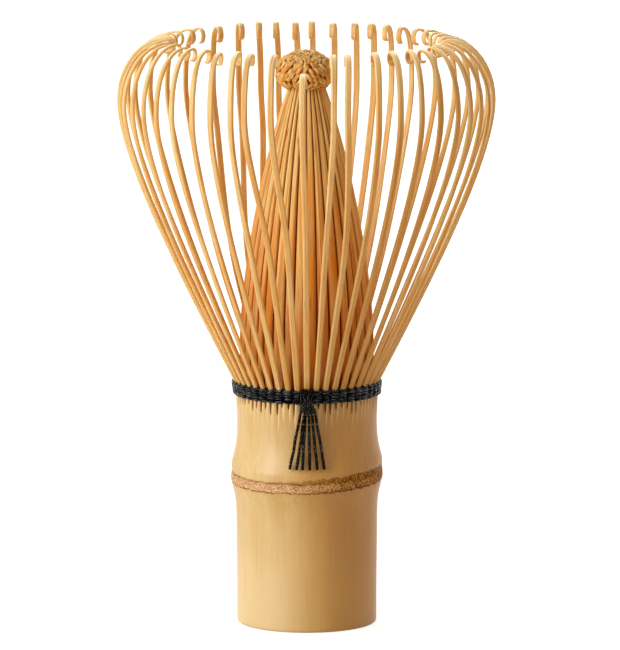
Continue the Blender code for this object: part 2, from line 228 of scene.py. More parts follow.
def shifted(grain, dice):
    """The grain from another place in the wood, so that no two strips look alike."""
    return grain + np.array([dice.uniform(-1, 1) for _ in range(3)])


def ease(value, low, high):
    """0 below low and 1 above high, and smooth between them."""
    share = np.clip((value - low) / (high - low), 0.0, 1.0)
    return share * share * (3.0 - 2.0 * share)


def polar(angle, radius, height, across=0.0):
    """Points this far out along the angle and this high, moved this far to its left."""
    x = radius * np.cos(angle) - across * np.sin(angle)
    y = radius * np.sin(angle) + across * np.cos(angle)
    return np.stack(np.broadcast_arrays(x, y, height), axis=-1)


def bezier(points, shares):
    """Points on the cubic curve at these shares of it."""
    start, start_handle, end_handle, end = (np.asarray(point, float) for point in points)
    share = np.asarray(shares)[:, None]
    rest = 1.0 - share
    near = start * rest**3 + start_handle * (3 * rest**2 * share)
    return near + end_handle * (3 * rest * share**2) + end * share**3


def lengths(points):
    """How far along the route each of its points lies."""
    steps = np.linalg.norm(np.diff(points, axis=0), axis=1)
    return np.concatenate(([0.0], np.cumsum(steps)))


def unit(vectors):
    return vectors / np.linalg.norm(vectors, axis=-1, keepdims=True)


def add_object(name, data):
    item = bpy.data.objects.new(name, data)
    bpy.context.scene.collection.objects.link(item)
    return item


class Shape:
    """Collects lofted strands as one mesh, which keeps a tone, a stain and its grain at each point. The tone
    also carries painted highlight, and the stain also carries painted shade.
    """

    def __init__(self):
        self.points, self.grains, self.tones, self.stains_and_shades = [], [], [], []
        self.faces = []
        self.count = 0

    def loft(self, rings, grain, tone, stain_and_shade=0.0, looped=False):
        """Skins closed rings, counter-clockwise as seen from the last one, and closes the ends."""
        rows, columns = rings.shape[:2]
        self.points.append(rings.reshape(-1, 3))
        self.grains.append(grain.reshape(-1, 3))
        for kept, value in ((self.tones, tone), (self.stains_and_shades, stain_and_shade)):
            kept.append(np.broadcast_to(value, (rows, columns)).reshape(-1))
        first = self.count + np.arange(rows * columns).reshape(rows, columns)
        lower = first if looped else first[:-1]
        upper = np.roll(first, -1, axis=0) if looped else first[1:]
        corners = (lower, np.roll(lower, -1, axis=1), np.roll(upper, -1, axis=1), upper)
        quads = np.stack(corners, axis=-1).reshape(-1, 4)
        self.faces += quads.tolist()
        if not looped:
            self.faces += [first[0][::-1].tolist(), first[-1].tolist()]
        self.count += rows * columns

    def build(self, name, materials, sharp_angle):
        mesh = bpy.data.meshes.new(name)
        mesh.from_pydata(np.concatenate(self.points).tolist(), [], self.faces)
        for title, kept in (("tone", self.tones), ("stain_and_shade", self.stains_and_shades)):
            values = np.concatenate(kept).astype(np.float32)
            mesh.attributes.new(title, "FLOAT", "POINT").data.foreach_set("value", values)
        grain = np.concatenate(self.grains).astype(np.float32).reshape(-1)
        mesh.attributes.new("grain", "FLOAT_VECTOR", "POINT").data.foreach_set("vector", grain)
        for material in materials:
            mesh.materials.append(material)
        mesh.shade_smooth()
        mesh.set_sharp_from_angle(angle=math.radians(sharp_angle))
        mesh.update()
        return add_object(name, mesh)


# Sections of shaved strips: shares of the width across, and of the thickness in from the outer face
TINE_SECTION = (
    (-0.5, 0.45), (-0.3, 0.02), (0.34, 0.02), (0.5, 0.45),
    (0.5, 0.8), (0.4, 1.0), (-0.4, 1.0), (-0.5, 0.8),
)
STRIP_SECTION = (
    (-0.5, 0.8), (-0.46, 0.4), (-0.32, 0.08), (-0.1, -0.02), (0.1, -0.02), (0.32, 0.08),
    (0.46, 0.4), (0.5, 0.8), (0.4, 1.0), (-0.4, 1.0),
)


def strip_rings(angles, route, widths, thicknesses, section, twists, bow=0.0):
    """Rings of a flat strip whose outer face follows the route of radius and height."""
    tangent = unit(np.gradient(route, axis=0))
    outward = np.stack((tangent[:, 1], -tangent[:, 0]), axis=-1)
    shares = np.array(section)
    across = widths[:, None] * shares[:, 0]
    depth = -thicknesses[:, None] * shares[:, 1]
    turn = twists[:, None]
    turned_across = across * np.cos(turn) - depth * np.sin(turn)
    turned_depth = across * np.sin(turn) + depth * np.cos(turn)
    radius = route[:, 0, None] + outward[:, 0, None] * turned_depth
    height = route[:, 1, None] + outward[:, 1, None] * turned_depth
    sideways = turned_across + np.broadcast_to(bow, len(route))[:, None]
    rings = polar(np.broadcast_to(angles, len(route))[:, None], radius, height, sideways)
    return rings, np.stack((across, depth, np.broadcast_to(lengths(route)[:, None], across.shape)), -1)


def tube_rings(path, out, across_half, out_half, sides=8, plies=0, groove=0.2):
    """Rings round a path. out points away from what carries it; plies give the section turning lobes."""
    tangent = unit(np.gradient(path, axis=0))
    outward = unit(out - np.sum(out * tangent, axis=1, keepdims=True) * tangent)
    sideways = np.cross(outward, tangent)
    along = lengths(path)
    theta = np.linspace(0.0, math.tau, sides, endpoint=False)[None, :]
    lobe = np.ones((len(path), sides))
    if plies:
        turn = math.tau * along[:, None] / THREAD_LAY
        lobe = 1.0 - groove + groove * np.cos(plies * (theta - turn))
    wide = np.broadcast_to(across_half, len(path))[:, None] * lobe * np.cos(theta)
    deep = np.broadcast_to(out_half, len(path))[:, None] * lobe * np.sin(theta)
    rings = path[:, None] + wide[..., None] * sideways[:, None] + deep[..., None] * outward[:, None]
    return rings, np.stack((wide, deep, np.broadcast_to(along[:, None], wide.shape)), -1)


def put(tree, socket, value):
    """Links a node's output to the socket, or sets the socket's own value."""
    if isinstance(value, bpy.types.NodeSocket):
        tree.links.new(value, socket)
    else:
        socket.default_value = value


def add_node(tree, kind, inputs, **settings):
    """A new shader node of this kind, with its inputs linked or set."""
    node = tree.nodes.new("ShaderNode" + kind)
    for name, value in settings.items():
        setattr(node, name, value)
    for key, value in inputs.items():
        put(tree, node.inputs[key], value)
    return node


class Finish:
    """One procedural material. Each method adds a node and gives its output."""

    def __init__(self, name, specular):
        self.material = bpy.data.materials.new(name)
        self.material.use_nodes = True
        self.tree = self.material.node_tree
        self.shader = self.tree.nodes["Principled BSDF"]
        self.set("Specular IOR Level", specular)

    def set(self, name, value):
        put(self.tree, self.shader.inputs[name], value)

    def add(self, kind, inputs, output=0, **settings):
        return add_node(self.tree, kind, inputs, **settings).outputs[output]

    def attribute(self, name, output="Fac"):
        return self.add("Attribute", {}, output, attribute_name=name)

    def place(self):
        return self.add("TexCoord", {}, "Object")

    def part(self, vector, axis):
        return self.add("SeparateXYZ", {0: vector}, axis)

    def stretch(self, vector, x, y, z):
        return self.add("VectorMath", {0: vector, 1: (x, y, z)}, operation="MULTIPLY")

    def noise(self, vector, scales, detail=2.0, roughness=0.5):
        """Noise with this many bumps to a metre along each of the three axes."""
        vector = self.stretch(vector, *scales)
        inputs = {"Vector": vector, "Scale": 1.0, "Detail": detail, "Roughness": roughness}
        return self.add("TexNoise", inputs)

    def math(self, operation, first, second=0.0):
        return self.add("Math", {0: first, 1: second}, operation=operation)

    def plus(self, first, second):
        return self.math("ADD", first, second)

    def times(self, first, second):
        return self.math("MULTIPLY", first, second)

    def ease(self, value, low, high, start=0.0, end=1.0):
        inputs = {"Value": value, "From Min": low, "From Max": high, "To Min": start, "To Max": end}
        return self.add("MapRange", inputs, interpolation_type="SMOOTHSTEP")

    def blend(self, share, first, second):
        return self.add("Mix", {0: share, 6: first, 7: second}, 2, data_type="RGBA")

    def bump(self, height, strength, distance, below=None):
        inputs = {"Height": height, "Strength": strength, "Distance": distance}
        if below is not None:
            inputs["Normal"] = below
        return self.add("Bump", inputs)

    def finish(self, colour, roughness, normal):
        self.set("Base Color", colour)
        self.set("Roughness", roughness)
        self.set("Normal", normal)
        return self.material


def split_bamboo(name, pale, deep, dark, glow, reach, specular, cracks):
    """Shaved bamboo: fibres and cracks along it, slow patches, painted shade in its dark colour where the
    mesh asks for it, thin enough to glow.
    """
    paint = Finish(name, specular)
    grain = paint.attribute("grain", "Vector")
    tone = paint.attribute("tone")
    stain_and_shade = paint.attribute("stain_and_shade")
    fibre = paint.noise(grain, (6500, 6500, 130), detail=3.0, roughness=0.65)
    streak = paint.noise(grain, (2600, 2600, 45))
    patch = paint.noise(grain, (260, 260, 60))
    share = paint.plus(paint.times(paint.ease(patch, 0.3, 0.7), 0.5), tone)
    share = paint.math("SUBTRACT", share, 0.25)
    colour = paint.blend(share, pale, deep)
    colour = paint.blend(paint.ease(streak, 0.48, 0.6, 0.0, 0.65), colour, deep)
    colour = paint.blend(paint.ease(fibre, 0.52, 0.68, 0.0, 0.42), colour, dark)
    split = paint.noise(grain, (1500, 1500, 16), detail=1.0)
    crack = paint.math("ABSOLUTE", paint.math("SUBTRACT", split, 0.5))
    colour = paint.blend(paint.ease(crack, 0.0, 0.014, cracks, 0.0), colour, dark)
    # Painted shade: the dark colour where the mesh marks shade, at the tines' feet, low on the cone, beside
    # and behind the strips' gaps, and in the plait's crevices
    colour = paint.blend(stain_and_shade, colour, dark)
    roughness = paint.ease(fibre, 0.3, 0.7, 0.38, 0.58)
    height = paint.plus(fibre, paint.times(streak, 0.8))
    paint.set("Subsurface Weight", glow)
    paint.set("Subsurface Radius", WOOD_GLOW)
    paint.set("Subsurface Scale", reach)
    return paint.finish(colour, roughness, paint.bump(height, 0.45, 0.06 * MM))


def culm_skin():
    """The culm's satin skin, with upright fibres, a rough speckled node and slits dark with stain and
    painted shade; painted light and shade run across it from left to right, it is painted paler towards its
    foot, and a painted highlight lies beside each slit.
    """
    paint = Finish("culm_skin_bamboo", 0.04)
    paint.set("Coat Roughness", 0.43)
    paint.set("Coat IOR", 2.0)
    place = paint.place()
    across = paint.part(place, "X")
    height = paint.part(place, "Z")
    stain_and_shade = paint.attribute("stain_and_shade")
    fibre = paint.noise(place, (3800, 3800, 90), detail=3.0, roughness=0.65)
    streak = paint.noise(place, (1100, 1100, 30), detail=3.0)
    patch = paint.noise(place, (110, 110, 45))
    # Painted light and shade: the skin's colours run from paler and yellower on the lit left to darker and
    # browner on the shaded right
    painted_light_to_shade = paint.ease(across, -10 * MM, 9 * MM)
    pale = paint.blend(painted_light_to_shade, srgb(221, 193, 134), srgb(210, 156, 60))
    warm = paint.blend(painted_light_to_shade, srgb(204, 169, 100), srgb(192, 134, 40))
    colour = paint.blend(paint.ease(patch, 0.3, 0.7), pale, warm)
    colour = paint.blend(paint.ease(streak, 0.45, 0.72, 0.0, 0.5), colour, warm)
    colour = paint.blend(paint.ease(fibre, 0.52, 0.76, 0.0, 0.38), colour, srgb(150, 96, 28))
    # Painted light: the skin is painted paler towards its foot, as if the sheen reached down to it
    foot = paint.blend(painted_light_to_shade, srgb(229, 204, 153), srgb(209, 157, 60))
    colour = paint.blend(paint.ease(height, 27 * MM, 4 * MM, 0.0, 0.65), colour, foot)

    # The node: how far a point lies above its crease, and past the speckles that reach up from it
    slope = paint.times(across, -NODE_TILT / CULM_RADIUS)
    slope = paint.plus(slope, paint.times(paint.part(place, "Y"), -NODE_FRONT_DROP / CULM_RADIUS))
    level = paint.plus(paint.math("SUBTRACT", height, NODE_HEIGHT), slope)
    wobble = paint.noise(place, (900, 900, 300), detail=5.0, roughness=0.7)
    level = paint.plus(level, paint.ease(wobble, 0.25, 0.75, -0.26 * MM, 0.26 * MM))
    # Painted light and shade on the node: its speckle and line colours below are lighter on the lit left and
    # darker on the shaded right, and its speckles grow coarser to the right
    side = paint.ease(across, -5 * MM, 9 * MM)
    reach = paint.ease(across, -9 * MM, 9 * MM, 0.35 * MM, 1.05 * MM)
    past = paint.math("SUBTRACT", level, reach)
    fine = paint.noise(place, (4600, 4600, 4600), roughness=0.8)
    coarse = paint.noise(place, (2700, 2700, 2700), detail=3.0, roughness=0.8)
    speckle = paint.plus(fine, paint.times(paint.math("SUBTRACT", coarse, fine), side))
    blotch = paint.noise(place, (700, 700, 1500), detail=3.0)
    under_crease = paint.ease(level, -CREASE_FADE, CREASE_FADE, 1.0, 0.0)
    over_crease = paint.ease(level, -CREASE_FADE, CREASE_FADE)
    below = paint.times(paint.ease(level, -1.72 * MM, -1.58 * MM), under_crease)
    above = paint.times(over_crease, paint.ease(past, -0.3 * MM, 0.28 * MM, 1.0, 0.0))
    light = paint.blend(side, srgb(248, 212, 166), srgb(232, 176, 96))
    deep = paint.blend(side, srgb(160, 100, 50), srgb(96, 48, 2))
    rough = paint.blend(paint.ease(speckle, 0.44, 0.52), deep, light)
    rough = paint.blend(paint.ease(blotch, 0.56, 0.66, 0.0, 0.32), rough, deep)
    colour = paint.blend(paint.times(below, 0.92), colour, rough)
    flecks = paint.ease(across, -10 * MM, 6 * MM, 0.35, 0.85)
    flecks = paint.times(paint.ease(speckle, 0.56, 0.48), flecks)
    colour = paint.blend(paint.times(above, flecks), colour, deep)
    edge = paint.blend(side, srgb(172, 112, 40), srgb(84, 38, 0))
    low_line = paint.math("ABSOLUTE", paint.plus(level, 1.66 * MM))
    low_line = paint.ease(low_line, *NODE_LINE_WIDTHS, 0.9, 0.0)
    low_line = paint.times(low_line, paint.ease(blotch, 0.38, 0.5, 0.25, 1.0))
    high_line = paint.ease(paint.math("ABSOLUTE", past), *NODE_LINE_WIDTHS, 0.9, 0.0)
    high_line = paint.times(high_line, paint.ease(blotch, 0.4, 0.5))
    high_line = paint.times(high_line, paint.ease(across, -9 * MM, 8 * MM, 0.0, 0.5))
    lines = paint.math("MAXIMUM", low_line, high_line)
    colour = paint.blend(lines, colour, edge)
    flecks = paint.ease(level, -1.8 * MM, -1.6 * MM, 1.0, 0.0)
    flecks = paint.times(paint.ease(level, -2.8 * MM, -1.8 * MM), flecks)
    flecks = paint.times(flecks, paint.ease(speckle, 0.48, 0.4, 0.0, 0.6))
    colour = paint.blend(flecks, colour, srgb(158, 100, 44))
    # Painted highlight: pale where the mesh marks the lit wall and rim of each slit
    colour = paint.blend(paint.attribute("tone"), colour, srgb(248, 216, 152))
    # Stained streaks, the node's crease line and the slits, whose dark also holds painted shade, in a colour
    # with painted light on the left and painted shade on the right
    colour = paint.blend(stain_and_shade, colour, paint.blend(painted_light_to_shade, srgb(136, 76, 20), srgb(78, 32, 0)))

    roughness = paint.ease(fibre, 0.3, 0.7, 0.34, 0.5)
    roughness = paint.plus(roughness, paint.times(below, 0.25))
    dull = paint.math("MAXIMUM", paint.plus(below, above), paint.math("MAXIMUM", stain_and_shade, lines))
    dull = paint.math("MINIMUM", dull, 1.0)
    paint.set("Coat Weight", paint.ease(dull, 0.0, 1.0, 0.54, 0.05))
    grain = paint.bump(paint.plus(fibre, streak), 0.25, 0.05 * MM)
    pitted = paint.times(speckle, paint.plus(below, paint.times(above, 0.8)))
    return paint.finish(colour, roughness, paint.bump(pitted, 0.9, 0.2 * MM, grain))


def cut_culm():
    """The cut and inner faces of the culm: pale flesh with dark dots where the fibres end."""
    paint = Finish("culm_cut_bamboo", 0.25)
    place = paint.place()
    flat = paint.stretch(place, 1, 1, 0)
    radius = paint.add("VectorMath", {0: flat}, "Value", operation="LENGTH")
    upright = paint.stretch(place, 1, 1, 0.05)
    cells = paint.add("TexVoronoi", {"Vector": upright, "Scale": 2600})
    soft = paint.noise(place, (500, 500, 60), detail=3.0)
    colour = paint.blend(paint.ease(soft, 0.3, 0.7), srgb(226, 188, 132), srgb(206, 160, 100))
    dots = paint.ease(cells, 0.12, 0.34, 0.55, 0.0)
    colour = paint.blend(dots, colour, srgb(138, 88, 44))
    rind = paint.ease(radius, 11.6 * MM, 13.2 * MM, 0.0, 0.45)
    colour = paint.blend(rind, colour, srgb(168, 118, 62))
    roughness = paint.ease(soft, 0.3, 0.7, 0.6, 0.78)
    return paint.finish(colour, roughness, paint.bump(cells, 0.35, 0.08 * MM))


def black_thread():
    """Waxed black cotton: fibres along the plies, small glints, and pale specks painted as glints where the
    tone is high.
    """
    paint = Finish("black_thread", 0.22)
    grain = paint.attribute("grain", "Vector")
    tone = paint.attribute("tone")
    fibre = paint.noise(grain, (9000, 9000, 1500), detail=3.0, roughness=0.7)
    fuzz = paint.noise(grain, (3000, 3000, 2200))
    colour = paint.blend(paint.ease(fibre, 0.35, 0.75), srgb(1, 1, 1), srgb(11, 11, 13))
    colour = paint.blend(paint.times(tone, 0.4), colour, srgb(8, 8, 8))
    colour = paint.blend(paint.ease(fuzz, 0.66, 0.72, 0.0, 0.55), colour, srgb(150, 138, 124))
    # Painted glints: pale specks on the loose ends, where the tone is high
    painted_glint_specks = paint.noise(grain, (4600, 4600, 4000), detail=1.0)
    flecks = paint.times(paint.ease(painted_glint_specks, 0.63, 0.68), paint.ease(tone, 0.9, 1.0, 0.0, 0.9))
    colour = paint.blend(flecks, colour, srgb(176, 156, 130))
    glint = paint.noise(grain, (4200, 4200, 700))
    shine = paint.ease(glint, 0.45, 0.61, 0.03, 0.6)
    shine = paint.times(shine, paint.ease(tone, 0.6, 1.0, 1.0, 0.35))
    paint.set("Specular IOR Level", shine)
    roughness = paint.ease(fuzz, 0.35, 0.65, 0.14, 0.26)
    return paint.finish(colour, roughness, paint.bump(fibre, 0.4, 0.05 * MM))


def node_offset(angle):
    """How far the slanting node lies above its middle height there."""
    return NODE_TILT * np.cos(angle) + NODE_FRONT_DROP * np.sin(angle)


def culm_profile(height):
    """Outer radius of the culm: two ridges beside the node's crease, and a faint belly below."""
    away = np.abs(height - NODE_HEIGHT)
    beyond = np.maximum(0.0, away - NODE_RIDGE_OFFSET)
    swell = NODE_SWELL * np.exp(-((beyond / NODE_FADE) ** 1.5))
    hollow = NODE_HOLLOW * np.maximum(0.0, 1.0 - away / NODE_RIDGE_OFFSET)
    belly = CULM_BELLY * np.exp(-(((height - CULM_BELLY_HEIGHT) / CULM_BELLY_REACH) ** 2))
    flare = CULM_FLARE * ease(height, CULM_FLARE_LOW, CULM_FLARE_HIGH)
    return CULM_RADIUS + swell - hollow + belly + flare


def ripple(angle, height, seed, size):
    """A smooth unevenness round the culm, from sines with fixed random phases."""
    dice = random.Random(seed)
    total = 0.0
    for waves in (2, 3, 5, 9, 14, 23):
        phase = dice.uniform(0.0, math.tau)
        slant = dice.uniform(-60.0, 60.0)
        total = total + np.sin(waves * angle + phase + slant * height) / math.sqrt(waves)
    return total * size


def make_culm(skin, flesh):
    """The culm, in one loft from under the septum over foot, skin and rim to the septum's top.

    Each slit has six columns: a side, two on its floor, a side, and the next tooth's rim and middle.
    """
    dice = random.Random(11)
    pitch = math.tau / SLIT_COUNT
    ends = np.array([SLIT_TOP - dice.uniform(*SLIT_LENGTHS) for _ in range(SLIT_COUNT)])
    places = np.array([pitch * (i + dice.uniform(-0.12, 0.12)) for i in range(SLIT_COUNT)])
    gapes = np.array([dice.uniform(0.55, 1.35) for _ in range(SLIT_COUNT)])
    heights = np.concatenate(CULM_LEVELS) * MM
    z = heights[:, None]

    opening = np.clip((z - ends) / (CULM_TOP - ends), 0.0, 1.0)
    half = (SLIT_WIDTH * gapes * opening**0.8 + SLIT_TIP_WIDTH) / 2 / CULM_RADIUS
    right = places + half
    left = np.append(places[1:], places[0] + math.tau) - np.roll(half, -1, axis=1)
    columns = [places - half, places - half * 0.3, places + half * 0.3, right]
    columns += [right + TOOTH_RIM / CULM_RADIUS, mix(right, left, 0.55)]
    angles = np.stack(columns, axis=-1).reshape(len(heights), -1)
    sunk, stained_and_shaded, painted_highlight = (np.zeros((len(heights), SLIT_COUNT, 6)) for _ in range(3))
    sunk[:, :, 1] = sunk[:, :, 2] = SLIT_DEPTH * ease(opening, 0.0, 0.35)
    ridge = TOOTH_RIDGE * ease(z, ends - 3.5 * MM, ends - 0.3 * MM)
    sunk[:, :, 4] = -ridge
    sunk[:, :, 5] = -0.3 * ridge
    # The slits' floors are dark with real stain and painted shade, their left walls with painted shade only,
    # and faint stained streaks run down below them
    fading = ease(z, ends - 2.6 * MM, ends) * (0.2 + 0.3 * np.sin(places * 7.0) ** 2)
    stained_and_shaded[:, :, 1] = stained_and_shaded[:, :, 2] = np.maximum(ease(opening, 0.0, 0.1), fading)
    stained_and_shaded[:, :, 0] = 0.55 * ease(opening, 0.0, 0.3)
    # Painted highlight: the slit's right wall and the next tooth's rim, which face the light, are painted
    # pale
    painted_rim_highlight = ease(z, ends - 3.2 * MM, ends - 0.2 * MM) * (0.35 + 0.35 * np.cos(places * 5.0) ** 2)
    painted_highlight[:, :, 3] = painted_highlight[:, :, 4] = painted_rim_highlight
    sunk, stained_and_shaded, painted_highlight = (kept.reshape(len(heights), -1) for kept in (sunk, stained_and_shaded, painted_highlight))

    line = NODE_HEIGHT + node_offset(angles)
    line = line + ripple(angles, 0.0, 3, 0.07 * MM) + ripple(angles * 5, 0.0, 13, 0.04 * MM)
    crease = np.exp(-(((z - line) / CREASE_WIDTH) ** 2))
    band = ease(z, line - 1.85 * MM, line - 1.5 * MM) * (1.0 - ease(z, line - 0.1 * MM, line + 0.2 * MM))
    pits = ripple(angles * 9, z * 30, 5, 0.018 * MM) * band
    radii = culm_profile(z - node_offset(angles)) + ripple(angles, z, 7, 0.035 * MM)
    radii = radii + pits + 0.06 * MM * band
    crease = crease * (1.0 - 0.75 * ease(np.cos(angles), -0.1, 0.5))
    radii = radii - CREASE_DEPTH * crease - sunk
    uneven = 0.7 + 0.3 * np.sin(angles * 31 + np.sin(angles * 5) * 4)
    stained_and_shaded = np.maximum(stained_and_shaded, 0.8 * crease * uneven)

    bore, hollow = (
        np.stack([polar(angles[0], radius * MM, height * MM) for radius, height in outline])
        for outline in (CULM_BORE, CULM_HOLLOW)
    )
    rings = np.concatenate([bore, polar(angles, radii, z), hollow])
    inner = ((len(bore), len(hollow)), (0, 0))
    shape = Shape()
    shape.loft(rings, rings, np.pad(painted_highlight, inner), np.pad(stained_and_shaded, inner))
    skin_start = len(bore) - SKIN_BELOW
    skin_end = len(bore) + len(heights)
    slots = np.ones(len(shape.faces), int)
    slots[skin_start * rings.shape[1] : skin_end * rings.shape[1]] = 0
    culm = shape.build("culm", [skin, flesh], 50.0)
    culm.data.polygons.foreach_set("material_index", slots)
    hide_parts("handle_culm")
    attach(culm, "handle")


def fan(offset, back):
    """How far an outer tine leans round the whisk up to its belly, and further on in its shoulder."""
    lean = -BACK_LEAN * back**4
    for place, width, shift in GATHERS:
        lean += math.radians(shift) * math.exp(-(((math.degrees(offset) - place) / width) ** 2))
    return lean, SIDE_LEAN * math.sin(2 * offset)


def make_outer_tine(index, wood):
    """One outer tine: root, stem out to its belly, shoulder in to its mouth, and hook. back is 1 behind."""
    dice = random.Random(100 + index)
    offset = (TINE_PITCH * index + math.pi) % math.tau - math.pi
    back = 0.5 - 0.5 * math.cos(offset)
    hook_radius = mix(*HOOK_RADII, back) * dice.uniform(0.93, 1.05)
    fuller = RIGHT_HOOK_TURN_DEGREES if RIGHT_HOOKS[0] < offset < RIGHT_HOOKS[1] else 0.0
    hook_turn = math.radians(dice.uniform(*HOOK_TURN_DEGREES) + fuller)
    hook_end = dice.uniform(0.3, 0.9) * MM
    mouth_radius = HEAD_RADIUS - MOUTH_INSET + dice.uniform(-0.4, 0.4) * MM
    mouth = np.array([mouth_radius, TINE_TOP - dice.uniform(0.07, 0.5) * MM])
    mouth[1] -= 0.0 if index else FRONT_TINE_DROP
    belly = np.array([HEAD_RADIUS - dice.uniform(0.0, 0.25) * MM, TINE_TOP - SHOULDER_RISE])
    foot = np.array([ROOT_TOP_RADIUS, TINE_FOOT])
    foot_handle = foot + np.array([math.sin(SPLAY_ANGLE), math.cos(SPLAY_ANGLE)]) * STEM_REACH
    belly_handle = belly - np.array([0.0, BELLY_REACH])

    stem = bezier((foot, foot_handle, belly_handle, belly), np.linspace(0.0, 1.0, STEM_POINTS))
    turn = np.linspace(0.0, math.pi / 2, SHOULDER_POINTS)[1:]
    rise = mouth[1] - belly[1]
    inset = belly[0] - mouth[0]
    shoulder = np.stack((mouth[0] + inset * np.cos(turn), belly[1] + rise * np.sin(turn)), axis=-1)
    turn = np.linspace(0.0, hook_turn, HOOK_POINTS)[1:]
    hook = mouth - hook_radius * np.stack((np.sin(turn), 1.0 - np.cos(turn)), axis=-1)
    onward = hook_turn + np.array([0.15, 0.35, 0.55])
    steps = np.stack((-np.cos(onward), -np.sin(onward)), axis=-1) * hook_end / 3
    route = np.concatenate([ROOT_ROUTE, stem, shoulder, hook, hook[-1] + np.cumsum(steps, axis=0)])

    along = lengths(route)
    foot_number = len(ROOT_ROUTE)
    belly_number = foot_number + len(stem) - 1
    foot_at, belly_at, mouth_at = along[[foot_number, belly_number, belly_number + len(shoulder)]]
    marks = (foot_at, belly_at, mix(belly_at, mouth_at, 0.55), mouth_at)
    thicknesses = np.interp(along, marks, TINE_THICKNESSES)
    widths = np.interp(along, marks, TINE_WIDTHS)
    widths = widths * (1.0 + dice.uniform(-0.06, 0.06) + 0.03 * np.sin(along * 260 + dice.uniform(0, 6)))

    lean, shoulder_lean = fan(offset, back)
    lean += math.radians(dice.uniform(-0.7, 0.7))
    leaning = ease(route[:, 1], mix(*LEAN_LOW, back), mix(*LEAN_HIGH, back))
    angles = FRONT + offset + lean * leaning
    inward = (belly[0] - route[:, 0]) / inset
    angles = angles + shoulder_lean * np.where(along >= belly_at, inward, 0.0)
    twists = math.radians(dice.uniform(-9.0, 9.0)) * ease(along, mix(foot_at, belly_at, 0.5), mouth_at)
    up_stem = np.clip((along - foot_at) / (belly_at - foot_at), 0, 1)
    wave = dice.uniform(-0.12, 0.12) * MM * np.sin(math.pi * up_stem)
    rings, grain = strip_rings(angles, route, widths, thicknesses, TINE_SECTION, twists, wave)
    grain = shifted(grain, dice)

    shape = Shape()
    darker_root = 0.06 * (1.0 - ease(along, foot_at, foot_at + 20 * MM))[:, None]
    paler_top = 0.42 * ease(along, mix(foot_at, belly_at, 0.7), mouth_at)[:, None]
    tone = dice.uniform(0.28, 0.62) + darker_root - paler_top
    shadowed = 0.3 * (1.0 - ease(along, foot_at, foot_at + 3.0 * MM))[:, None]
    shape.loft(rings, grain, tone, shadowed)
    name = f"tine_{index + 1:02d}"
    item = shape.build(f"shaved_{name}", [wood], 28.0)
    stem_way = Vector(polar(FRONT + offset, math.sin(SPLAY_ANGLE), math.cos(SPLAY_ANGLE)).tolist())
    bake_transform(item)
    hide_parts(f"outer_{name}")


def cone_route(inset):
    """An inner tine's outer face, moved in by the inset: two points, STRIP_POINTS up the cone, and one."""
    root = np.array([CONE_ROOT_RADIUS, RIM_HEIGHT + 1.8 * MM])
    tip = np.array([CONE_TIP_RADIUS, STRIP_TOP])
    bulge = np.array([math.sin(CONE_BULGE_ANGLE), math.cos(CONE_BULGE_ANGLE)]) * CONE_REACH
    narrowing = np.array([-math.sin(CONE_TIP_ANGLE), math.cos(CONE_TIP_ANGLE)]) * CONE_REACH
    upper = bezier((root, root + bulge, tip - narrowing, tip), np.linspace(0.0, 1.0, STRIP_POINTS))
    low = np.array([(CONE_ROOT_RADIUS, RIM_HEIGHT), (CONE_ROOT_RADIUS, RIM_HEIGHT + 0.9 * MM)])
    beyond = tip + unit(narrowing) * 1.8 * MM
    route = np.concatenate([low, upper, beyond[None]])
    return route - np.array([1.0, 0.0]) * np.broadcast_to(inset, len(route))[:, None]


def make_inner_half(name, node, first, bounds, drifts, wood):
    """Half of the inner tines: uneven strips edge to edge, and a second layer behind their gaps, painted
    dark as shade.
    """
    shape = Shape()
    for layer, inset in ((0, 0.0), (1, SECOND_LAYER)):
        for i in range(first, first + STRIP_COUNT // 2):
            dice = random.Random(500 + 90 * layer + i)
            onward = 0.5 * layer * (bounds[i + 1] - bounds[i])
            low, high = bounds[i] + onward, bounds[i + 1] + onward
            ends = dice.uniform(-0.1, 0.04), dice.uniform(-0.16, 0.1)
            proud = np.linspace(*ends, STRIP_POINTS + 3) * MM
            route = cone_route(inset - proud)
            share = lengths(route) / lengths(route)[-1]
            middle = (low + high) / 2 + (drifts[i] + drifts[i + 1]) / 2 * share
            pitch = (high - low) + (drifts[i + 1] - drifts[i]) * share
            spare = 0.3 if layer else -mix(0.36, 0.18, share)
            widths = pitch * route[:, 0] + spare * MM
            thicknesses = mix(STRIP_ROOT_THICKNESS, STRIP_TIP_THICKNESS, share)
            twists = math.radians(dice.uniform(-8.0, 8.0)) * np.sin(math.pi * share)
            rings, grain = strip_rings(middle, route, widths, thicknesses, STRIP_SECTION, twists)
            grain = shifted(grain, dice)
            height = route[:, 1, None]
            tone = dice.uniform(0.25, 0.85) + 0.3 * layer - 0.72 * ease(height, 70 * MM, 96 * MM)
            # Painted shade: darker low on the cone, on each strip's sides and inner face beside the gaps,
            # and over the whole second layer that shows only through those gaps
            painted_low_shade = 0.38 * (1.0 - ease(height, 48 * MM, 72 * MM))
            painted_gap_shade = 0.75 * ease(np.array(STRIP_SECTION)[:, 1], 0.25, 0.72)
            shape.loft(rings, grain, tone, np.maximum(0.85 * layer, painted_low_shade + painted_gap_shade))
    item = shape.build(name, [wood], 34.0)
    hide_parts(node)
    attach(item, "handle")


